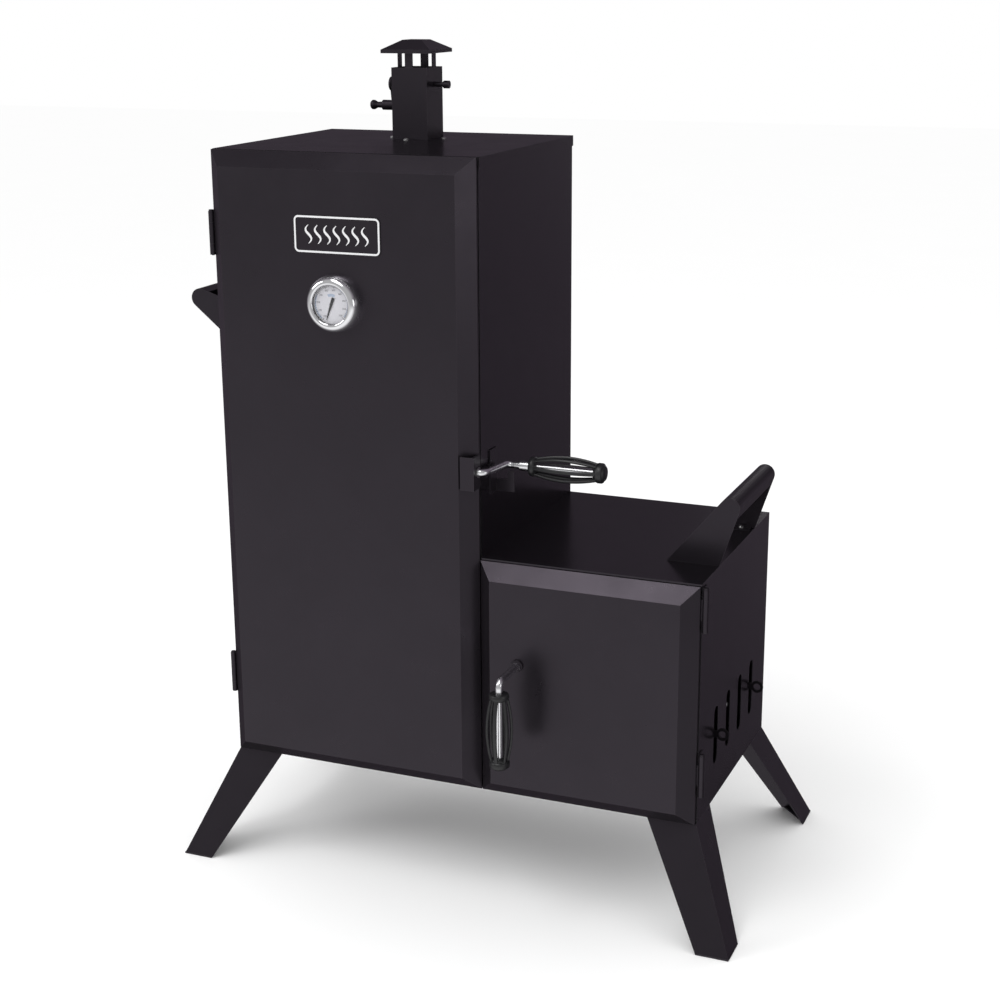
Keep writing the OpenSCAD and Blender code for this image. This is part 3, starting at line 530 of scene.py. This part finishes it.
def caged_grip(name, node, body, start, axis, side, first_rib):
    """A grip along axis from start, as long and as wide as its CAD node.

    first_rib is the turn from side to the first rib, in degrees.
    """
    size = high(node) - low(node)
    length = max(size)
    widest = sorted(size)[1] / 2
    place = frame_matrix(start, axis, side)
    bm = bmesh.new()
    collar = [(r * MM, h * MM) for r, h in COLLAR]
    lathe(bm, [(GRIP_BORE, 0)] + collar + [(GRIP_BORE, COLLAR_LENGTH), (GRIP_BORE, 0)], place)
    end = [(0, length - END_BORE_STOP), (GRIP_BORE, length - END_BORE_STOP),
           (GRIP_BORE, length - END_PIECE_LENGTH)]
    lathe(bm, end + [(r * MM, length - back * MM) for r, back in END_PIECE], place)
    first, last = 6 * MM, length - 11 * MM
    for i in range(RIBS):
        turn = math.radians(first_rib) + 2 * math.pi * i / RIBS
        out = Vector((math.cos(turn), math.sin(turn), 0))
        path, ups = [], []
        for k in range(RIB_STEPS + 1):
            t = k / RIB_STEPS
            bow = math.sin(math.pi * t) ** RIB_BOW
            reach = RIB_FOOT + (widest - RIB_INSET - RIB_FOOT) * bow
            point = out * reach + Vector((0, 0, first + (last - first) * t))
            path.append(place @ point)
            ups.append((place.to_3x3() @ out).normalized())
        sweep(bm, path, RIB_HALF_ACROSS, RIB_HALF_OUT, ups)
    grip = add_object(name, bm, "black_plastic", body)
    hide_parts(node)


caged_grip(
    "chamber_latch_grip_cage", "chamber_latch_grip", "chamber_latch",
    Vector((low("chamber_latch_grip").x, middle("chamber_latch_grip").y,
            middle("chamber_latch_grip").z)),
    (1, 0, 0), (0, 0, 1), 30)
caged_grip(
    "firebox_latch_grip_cage", "firebox_latch_grip", "firebox_latch",
    Vector((middle("firebox_latch_grip").x, middle("firebox_latch_grip").y,
            high("firebox_latch_grip").z)),
    (0, 0, -1), (0, -1, 0), 0)


def latch_collar():
    """Black cup on the firebox door that hides the rod's thrust collar."""
    pivot = joint_pos("firebox_latch_turn")
    face = low("firebox_door").y
    place = frame_matrix(Vector((pivot.x, face, pivot.z)), (0, -1, 0))
    rod, cup = 5.1 * MM, 6.8 * MM
    profile = [(cup, -0.2 * MM), (8.6 * MM, -0.2 * MM), (8.6 * MM, 1.6 * MM), (7.9 * MM, 2.9 * MM),
               (6.9 * MM, 3.3 * MM), (rod, 3.3 * MM), (rod, 2.5 * MM), (cup, 2.5 * MM),
               (cup, -0.2 * MM)]
    bm = bmesh.new()
    lathe(bm, profile, place, 40)
    add_object("firebox_latch_cup", bm, "black_powder_coat", "firebox_door")


latch_collar()


# ---------------------------------------------------------------------------
# Temperature gauge: bezel, dial print, pointer and domed glass
# ---------------------------------------------------------------------------

HUB = joint_pos("gauge_pointer_turn")
PLATE_T = 1.6 * MM       # the name plate's thickness, so FACE_Y is the door's face
FACE_Y = low("badge_plate").y + PLATE_T
GAUGE = frame_matrix(Vector((HUB.x, FACE_Y, HUB.z)), (0, -1, 0), (1, 0, 0))
DIAL_TOP = FACE_Y - low("gauge_dial").y
DIAL_R = (high("gauge_dial").x - low("gauge_dial").x) / 2
COLD = math.radians(250)         # the pointer at rest, counted from +X towards +Z
SWEEP = math.radians(285)
SCALE_START = COLD - math.radians(12)
SCALE_STEPS = 45
NUMBER_EVERY = 5
FIRST_NUMBER, NUMBER_STEP = 100, 50
SCALE_R = 25.3 * MM
ZONE_R = (23.4 * MM, 25.2 * MM)
ZONES = (("dial_zone_cool", "ink_blue", 0.02, 0.30), ("dial_zone_smoke", "ink_grey", 0.31, 0.62),
         ("dial_zone_hot", "ink_blue", 0.63, 0.98))
PATCH_R, PATCH_HALF = (10.5 * MM, 14.2 * MM), 0.42
NUMBER_R, NUMBER_H = 19.4 * MM, 3.4 * MM
INK_T = 0.04 * MM
MERGE_PRINT = 1e-5       # closer points of a printed number are one, in metres
NO_AREA = 1e-12          # square metres


def gauge_bezel():
    """A spun shell: a flank that narrows in a long curve, a rolled rim and an inner lip."""
    outer = (high("gauge_bezel").x - low("gauge_bezel").x) / 2 + 1.2 * MM
    proud = FACE_Y - low("gauge_bezel").y
    inner = DIAL_R + 0.1 * MM
    rim = inner + 2.4 * MM
    foot = 4.0 * MM
    sheet = 1.1 * MM
    flank = [
        (rim + (outer - rim) * math.cos(a) ** 0.8, foot + (proud - foot) * math.sin(a) ** 1.1)
        for a in [math.pi / 2 * k / 18 for k in range(18)]
    ]
    profile = [(outer - sheet, 0.05 * MM), (outer, 0.05 * MM)] + flank
    profile += [(rim, proud), (inner + 1.2 * MM, proud - 0.25 * MM), (inner + 0.3 * MM, proud - 0.9 * MM),
                (inner, proud - 1.7 * MM), (inner + 0.9 * MM, proud - 1.8 * MM)]
    profile += [(r - sheet, h - sheet * 0.5) for r, h in reversed(flank[:14])]
    profile += [(outer - sheet, 0.05 * MM)]
    bm = bmesh.new()
    lathe(bm, profile, GAUGE, 96)
    ring = add_object("gauge_bezel_ring", bm, "chrome", "chamber_door")
    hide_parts("gauge_bezel")


def gauge_glass():
    """A slightly domed disc of glass."""
    radius = DIAL_R + 0.6 * MM
    base = FACE_Y - high("gauge_glass").y
    dome = 1.4 * MM
    bm = bmesh.new()
    steps = 10
    profile = [(0, base)] + [(radius, base)]
    profile += [
        (radius * math.cos(math.pi / 2 * k / steps),
         base + 0.8 * MM + dome * math.sin(math.pi / 2 * k / steps))
        for k in range(steps)
    ]
    profile += [(0, base + 0.8 * MM + dome)]
    lathe(bm, profile, GAUGE, 72)
    glass = add_object("gauge_glass_dome", bm, "clear_glass", "chamber_door")
    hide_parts("gauge_glass")


def on_dial(radius, angle, lift=0.05 * MM):
    """A point over the dial, its angle counted from +X towards +Z as seen from the front."""
    return Vector((HUB.x + radius * math.cos(angle), FACE_Y - DIAL_TOP - lift,
                   HUB.z + radius * math.sin(angle)))


def dial_band(bm, r0, r1, a0, a1, lift, steps=48):
    """A flat printed arc between two radii and two angles."""
    rows = []
    for i in range(steps + 1):
        a = a0 + (a1 - a0) * i / steps
        rows.append([
            bm.verts.new(on_dial(r, a, lift + up))
            for r, up in ((r0, 0), (r1, 0), (r1, INK_T), (r0, INK_T))
        ])
    for p, q in zip(rows, rows[1:]):
        for k in range(4):
            m = (k + 1) % 4
            bm.faces.new((p[k], p[m], q[m], q[k]))
    bm.faces.new(rows[0])
    bm.faces.new(list(reversed(rows[-1])))


def dial_print():
    """The scale with its numbers, the coloured bands and a plain patch over the hub."""
    start, end = SCALE_START, SCALE_START - SWEEP
    span = end - start
    lines = bmesh.new()
    dial_band(lines, SCALE_R, SCALE_R + 0.3 * MM, start, end, 0.05 * MM, 96)
    for i in range(SCALE_STEPS + 1):
        a = start + span * i / SCALE_STEPS
        major = i % NUMBER_EVERY == 0
        depth = 3.2 * MM if major else 1.9 * MM
        half = 0.011 if major else 0.006
        dial_band(lines, SCALE_R - depth, SCALE_R, a - half, a + half, 0.09 * MM, 1)
    add_object("dial_scale", lines, "ink_black", "chamber_door")
    for name, ink, f0, f1 in ZONES:
        zone = bmesh.new()
        dial_band(zone, *ZONE_R, start + span * f0, start + span * f1, 0.02 * MM)
        add_object(name, zone, ink, "chamber_door")
    top = bmesh.new()
    up = math.radians(90)
    dial_band(top, *PATCH_R, up - PATCH_HALF, up + PATCH_HALF, 0.02 * MM)
    add_object("dial_patch", top, "ink_blue", "chamber_door")
    for i in range(0, SCALE_STEPS + 1, NUMBER_EVERY):
        number = str(FIRST_NUMBER + NUMBER_STEP * (i // NUMBER_EVERY))
        dial_number(number, on_dial(NUMBER_R, start + span * i / SCALE_STEPS))


def dial_number(number, point):
    """Flat printed figures facing the front, turned into a clean mesh."""
    name = "dial_number_" + number
    curve = bpy.data.curves.new(name, "FONT")
    curve.body = number
    curve.size = NUMBER_H
    curve.extrude = INK_T / 2
    curve.align_x = "CENTER"
    curve.align_y = "CENTER"
    temp = bpy.data.objects.new(name + "_curve", curve)
    bpy.context.scene.collection.objects.link(temp)
    bpy.context.view_layer.update()
    mesh = bpy.data.meshes.new_from_object(temp)
    bpy.data.objects.remove(temp)
    mesh.transform(Matrix.Translation(point) @ Matrix.Rotation(math.pi / 2, 4, "X"))
    bm = bmesh.new()
    bm.from_mesh(mesh)
    bmesh.ops.remove_doubles(bm, verts=bm.verts, dist=MERGE_PRINT)
    bmesh.ops.dissolve_degenerate(bm, edges=bm.edges, dist=MERGE_PRINT)
    # A face whose corners lie on one line joins its neighbour along its longest edge
    flat = [f for f in bm.faces if f.calc_area() < NO_AREA]
    longest = [max(f.edges, key=lambda e: e.calc_length()) for f in flat]
    bmesh.ops.dissolve_edges(bm, edges=longest, use_verts=False)
    bm.to_mesh(mesh)
    bm.free()
    obj = bpy.data.objects.new(name, mesh)
    mesh.materials.clear()
    mesh.materials.append(MATERIALS["ink_black"])
    bpy.context.scene.collection.objects.link(obj)
    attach(obj, "chamber_door")


# The pointer's outline in mm, along it from the hub and across it
BLADE = ((-9.6, -1.7), (-9.0, -2.2), (-3.0, -2.0), (3.0, -1.7), (12.0, -1.0), (23.0, -0.25),
         (23.0, 0.25), (12.0, 1.0), (3.0, 1.7), (-3.0, 2.0), (-9.0, 2.2), (-9.6, 1.7))
BLADE_LIFT, BLADE_T = 0.7 * MM, 0.5 * MM


def gauge_pointer():
    """Tapered blade with a short thick tail and a domed hub."""
    front = DIAL_TOP + BLADE_LIFT
    along = Vector((math.cos(COLD), 0, math.sin(COLD)))
    across = Vector((-math.sin(COLD), 0, math.cos(COLD)))
    centre = Vector((HUB.x, FACE_Y, HUB.z))
    bm = bmesh.new()
    layers = []
    for lift in (front, front + BLADE_T):
        layers.append([
            bm.verts.new(centre + along * u * MM + across * v * MM - Vector((0, lift, 0)))
            for u, v in BLADE
        ])
    count = len(BLADE)
    for k in range(count):
        m = (k + 1) % count
        bm.faces.new((layers[0][k], layers[0][m], layers[1][m], layers[1][k]))
    bm.faces.new(layers[0])
    bm.faces.new(list(reversed(layers[1])))
    hub = [(0, DIAL_TOP - 0.6 * MM), (1.3 * MM, DIAL_TOP - 0.6 * MM), (1.3 * MM, front - 0.1 * MM),
           (2.2 * MM, front - 0.1 * MM), (2.3 * MM, front + 0.6 * MM), (1.8 * MM, front + 0.9 * MM),
           (0.8 * MM, front + 1.1 * MM), (0, front + 1.1 * MM)]
    lathe(bm, hub, GAUGE, 32)
    pointer = add_object("gauge_pointer_blade", bm, "pointer_black", "gauge_pointer")
    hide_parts("gauge_pointer")


gauge_bezel()
gauge_glass()
dial_print()
gauge_pointer()


# ---------------------------------------------------------------------------
# Name plate: a silver border line and plain smoke curls
# ---------------------------------------------------------------------------

BORDER_INSET, BORDER_CORNER, BORDER_HALF = 2.2 * MM, 5.2 * MM, 1.3 * MM
CURLS = 7
CURL_PITCH, CURL_SWAY, CURL_HEIGHT, CURL_HALF = 14 * MM, 4.2 * MM, 25 * MM, 1.7 * MM
CURL_STEPS = 32
LINE_T = 0.25 * MM


def plate_print():
    """The rounded border line, and the row of curls inside it."""
    lo, hi = low("badge_plate"), high("badge_plate")
    y = lo.y
    centre = middle("badge_plate")
    half_w = (hi.x - lo.x) / 2 - BORDER_INSET
    half_h = (hi.z - lo.z) / 2 - BORDER_INSET
    corner = BORDER_CORNER
    path = []
    for cx, cz, a0 in ((1, 1, 0), (-1, 1, 90), (-1, -1, 180), (1, -1, 270)):
        for k in range(9):
            a = math.radians(a0 + 90 * k / 8)
            path.append(Vector((
                centre.x + cx * (half_w - corner) + corner * math.cos(a),
                y,
                centre.z + cz * (half_h - corner) + corner * math.sin(a),
            )))
    flat_line(path, BORDER_HALF, "badge_border_line", True)
    for i in range(CURLS):
        x0 = centre.x + (i - (CURLS - 1) / 2) * CURL_PITCH
        curl = []
        for k in range(CURL_STEPS + 1):
            t = k / CURL_STEPS
            curl.append(Vector((
                x0 + CURL_SWAY * math.sin(2 * math.pi * t),
                y,
                centre.z + CURL_HEIGHT * (t - 0.5),
            )))
        flat_line(curl, CURL_HALF, "badge_smoke_curl_%d" % (i + 1), False)


def flat_line(path, half, name, closed):
    """A thin raised line that follows a path on the plate's face, tapered if it is open."""
    bm = bmesh.new()
    count = len(path)
    rows = []
    for i, point in enumerate(path):
        before = path[(i - 1) % count] if closed else path[max(i - 1, 0)]
        after = path[(i + 1) % count] if closed else path[min(i + 1, count - 1)]
        t = (after - before).normalized()
        side = Vector((-t.z, 0, t.x))
        w = half if closed else half * (0.25 + 0.75 * math.sin(math.pi * i / (count - 1)))
        rows.append([
            bm.verts.new(point + side * s * w + Vector((0, dy, 0)))
            for s, dy in ((-1, 0.05 * MM), (1, 0.05 * MM), (0.8, -LINE_T), (-0.8, -LINE_T))
        ])
    pairs = list(zip(rows, rows[1:]))
    if closed:
        pairs.append((rows[-1], rows[0]))
    for p, q in pairs:
        for k in range(4):
            m = (k + 1) % 4
            bm.faces.new((p[k], p[m], q[m], q[k]))
    if not closed:
        bm.faces.new(rows[0])
        bm.faces.new(list(reversed(rows[-1])))
    add_object(name, bm, "silver_print", "chamber_door")


plate_print()


# ---------------------------------------------------------------------------
# Cooking grates: welded round wire in place of the plain grids
# ---------------------------------------------------------------------------

GRATES = 6
RIM_R, WIRE_R = 2.5 * MM, 1.6 * MM
RIM_CORNER = 12 * MM
CROSS_BARS = (1 / 3, 2 / 3)
WIRES = 23


def wire_grate(number):
    """A rim with rounded corners, two cross bars, and a row of wires welded on top."""
    node = "cooking_grate_%d" % number
    lo, hi = low(node), high(node)
    top = hi.z - WIRE_R
    rim_z = lo.z + RIM_R
    bm = bmesh.new()
    x0, x1, y0, y1 = lo.x + RIM_R, hi.x - RIM_R, lo.y + RIM_R, hi.y - RIM_R
    rim = []
    for cx, cy, a0 in ((x1, y1, 0), (x0, y1, 90), (x0, y0, 180), (x1, y0, 270)):
        sx = -1 if cx == x1 else 1
        sy = -1 if cy == y1 else 1
        for k in range(7):
            a = math.radians(a0 + 90 * k / 6)
            rim.append(Vector((cx + sx * RIM_CORNER + RIM_CORNER * math.cos(a),
                               cy + sy * RIM_CORNER + RIM_CORNER * math.sin(a), rim_z)))
    closed_tube(bm, rim, RIM_R)
    for f in CROSS_BARS:
        y = y0 + (y1 - y0) * f
        round_bar(bm, Vector((x0, y, rim_z)), Vector((x1, y, rim_z)), RIM_R * 0.9, 10)
    for i in range(WIRES):
        x = x0 + (x1 - x0) * (i + 1) / (WIRES + 1)
        round_bar(bm, Vector((x, y0 - 1 * MM, top)), Vector((x, y1 + 1 * MM, top)), WIRE_R, 10)
    grate = add_object("wire_grate_%d" % number, bm, "plated_wire", "smoker_body")
    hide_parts(node)


def closed_tube(bm, path, radius, sides=10):
    """A round tube along a closed level path."""
    count = len(path)
    rings = []
    for i, point in enumerate(path):
        t = (path[(i + 1) % count] - path[i - 1]).normalized()
        across = Vector((-t.y, t.x, 0))
        rings.append([
            bm.verts.new(point + across * radius * math.cos(2 * math.pi * k / sides)
                         + Vector((0, 0, radius * math.sin(2 * math.pi * k / sides))))
            for k in range(sides)
        ])
    for i in range(count):
        a, b = rings[i], rings[(i + 1) % count]
        for k in range(sides):
            m = (k + 1) % sides
            bm.faces.new((a[k], a[m], b[m], b[k]))


for grate_number in range(1, GRATES + 1):
    wire_grate(grate_number)


# ---------------------------------------------------------------------------
# Air shutter: the rivet head seen through the second slot
# ---------------------------------------------------------------------------

BELOW_RINGS = 12 * MM    # lower than this under the rings' centres is the plain plate
RIVET_BACK, RIVET_UP = 11 * MM, 15 * MM


def shutter_rivet():
    """Domed rivet on the shutter's face, behind the second slot and above the finger rings."""
    wall = high("firebox_right_panel").x
    points = [v.co for v in frame["nodes"]["air_shutter"].data.vertices]
    rings = [p for p in points if p.x > wall]
    first, last = min(p.y for p in rings), max(p.y for p in rings)
    ring_z = (min(p.z for p in rings) + max(p.z for p in rings)) / 2
    face = max(p.x for p in points if p.z < ring_z - BELOW_RINGS)
    centre = Vector((face, first + (last - first) / 3 + RIVET_BACK, ring_z + RIVET_UP))
    head = [(0, -0.8 * MM), (2.4 * MM, -0.8 * MM), (2.4 * MM, 0), (3.6 * MM, 0), (3.5 * MM, 0.6 * MM),
            (2.8 * MM, 1.3 * MM), (1.5 * MM, 1.7 * MM), (0, 1.8 * MM)]
    bm = bmesh.new()
    lathe(bm, head, frame_matrix(centre, (1, 0, 0)), 28)
    add_object("shutter_rivet_head", bm, "zinc_steel", "air_shutter")


shutter_rivet()


# ---------------------------------------------------------------------------
# Floor, light and camera
# ---------------------------------------------------------------------------

FLOOR_HALF = 14.0
FLOOR_DROP = 0.0005
LOOK_AT = Vector((0, 0, 0.55))
# Soft lights: name, place, width in metres and power in watts
LIGHTS = (
    ("top", (-0.35, -2.1, 3.1), 1.7, 22),
    ("left", (-2.6, -1.9, 1.9), 1.3, 16),
    ("right", (2.6, -1.0, 0.9), 1.1, 3.5),
    ("behind", (0, 3.4, 0.9), 1.0, 3.2),
)
LEDGE_LIGHT = (-0.70, -0.76, 2.05), 0.6, 5      # from the firebox door's top edge


def studio():
    """A pale floor, the reflected room and the lights."""
    floor_mesh = bpy.data.meshes.new("floor")
    bm = bmesh.new()
    size = FLOOR_HALF
    corners = [(-size, -size), (size, -size), (size, size), (-size, size)]
    bm.faces.new([bm.verts.new((x, y, -FLOOR_DROP)) for x, y in corners])
    bm.to_mesh(floor_mesh)
    bm.free()
    floor = bpy.data.objects.new("floor", floor_mesh)
    bpy.context.scene.collection.objects.link(floor)
    n = Nodes("floor_paper")
    n.link(n.mix(n.noise(3.0), (0.975, 0.975, 0.975), (0.985, 0.985, 0.985)),
           n.bsdf.inputs["Base Color"])
    n.set(Roughness=0.9, Specular_IOR_Level=0.0)
    floor_mesh.materials.append(n.mat)

    floor.visible_glossy = False
    studio_world()

    for name, place, size, watts in LIGHTS:
        area_light(name, Vector(place), LOOK_AT, size, watts)
    ledge = middle("firebox_door")
    ledge.z = high("firebox_door").z
    offset, size, watts = LEDGE_LIGHT
    area_light("ledge", ledge + Vector(offset), ledge, size, watts)


# How bright the room is in reflections, at each height of the looking direction
ROOM_BEHIND = ((-0.40, 0.070), (-0.28, 0.105), (-0.20, 0.125), (-0.02, 0.13), (0.12, 0.060),
               (0.22, 0.068), (0.36, 0.12))
ROOM_IN_FRONT = ((-0.36, 0.94), (-0.30, 0.83), (-0.20, 0.60), (-0.12, 0.42), (0.30, 0.42))
TINT_BEHIND, TINT_IN_FRONT = (1.04, 0.86, 1.08), (1.0, 1.0, 1.0)
# Where the change from the one to the other starts and ends, along the direction's y
ROOM_CHANGE = (0.25, -0.75)


def studio_world():
    """White all round; in reflections a darker room, brighter in front and towards the floor."""
    world = bpy.data.worlds.new("studio")
    bpy.context.scene.world = world
    world.use_nodes = True
    world.cycles.sampling_method = "NONE"
    tree = world.node_tree
    background = tree.nodes["Background"]
    coord = tree.nodes.new("ShaderNodeTexCoord")
    split = tree.nodes.new("ShaderNodeSeparateXYZ")
    tree.links.new(coord.outputs["Generated"], split.inputs["Vector"])

    def profile(levels, tint):
        """A tinted level for each height of the direction, between (height, level) stops."""
        place = tree.nodes.new("ShaderNodeMapRange")
        place.inputs["From Min"].default_value = -1.0
        tree.links.new(split.outputs["Z"], place.inputs["Value"])
        node = tree.nodes.new("ShaderNodeValToRGB")
        stops = node.color_ramp.elements
        while len(stops) < len(levels):
            stops.new(0.5)
        for stop, (height, level) in zip(stops, levels):
            stop.position = (height + 1) / 2
            stop.color = (*(level * c for c in tint), 1)
        tree.links.new(place.outputs["Result"], node.inputs["Fac"])
        return node.outputs["Color"]

    front = tree.nodes.new("ShaderNodeMapRange")
    front.interpolation_type = "SMOOTHSTEP"
    front.inputs["From Min"].default_value = ROOM_CHANGE[0]
    front.inputs["From Max"].default_value = ROOM_CHANGE[1]
    tree.links.new(split.outputs["Y"], front.inputs["Value"])
    room = tree.nodes.new("ShaderNodeMix")
    room.data_type = "RGBA"
    tree.links.new(front.outputs["Result"], room.inputs["Factor"])
    tree.links.new(profile(ROOM_BEHIND, TINT_BEHIND), room.inputs[MIX_A])
    tree.links.new(profile(ROOM_IN_FRONT, TINT_IN_FRONT), room.inputs[MIX_B])
    path = tree.nodes.new("ShaderNodeLightPath")
    choice = tree.nodes.new("ShaderNodeMix")
    choice.data_type = "RGBA"
    choice.inputs[MIX_A].default_value = (1.0, 1.0, 1.0, 1)
    tree.links.new(path.outputs["Is Glossy Ray"], choice.inputs["Factor"])
    tree.links.new(room.outputs[MIX_RESULT], choice.inputs[MIX_B])
    tree.links.new(choice.outputs[MIX_RESULT], background.inputs["Color"])
    bpy.context.scene.view_settings.view_transform = "Standard"


def area_light(name, place, target, size, watts):
    """A round soft light at place that faces target."""
    data = bpy.data.lights.new(name, "AREA")
    data.shape = "DISK"
    data.size = size
    data.energy = watts
    light = bpy.data.objects.new(name, data)
    light.location = place
    light.rotation_euler = (target - place).to_track_quat("-Z", "Y").to_euler()
    bpy.context.scene.collection.objects.link(light)


CAMERA_FROM_CORNER = Vector((1309.6, -2146.5, 1102.7)) * MM
YAW, PITCH, ROLL = math.radians(22.44), math.radians(-16.17), math.radians(-0.37)
LENS, SENSOR = 64.47, 36.0
CLIP_END = 60.0


def camera():
    """The camera stands in front of the firebox's far side and looks down a little."""
    data = bpy.data.cameras.new("camera")
    data.lens = LENS
    data.sensor_width = SENSOR
    data.clip_end = CLIP_END
    cam = bpy.data.objects.new("camera", data)
    turn = (Matrix.Rotation(YAW, 4, "Z") @ Matrix.Rotation(math.pi / 2 + PITCH, 4, "X")
            @ Matrix.Rotation(ROLL, 4, "Z"))
    cam.matrix_world = Matrix.Translation(CORNER + CAMERA_FROM_CORNER) @ turn
    bpy.context.scene.collection.objects.link(cam)
    bpy.context.scene.camera = cam


studio()
camera()
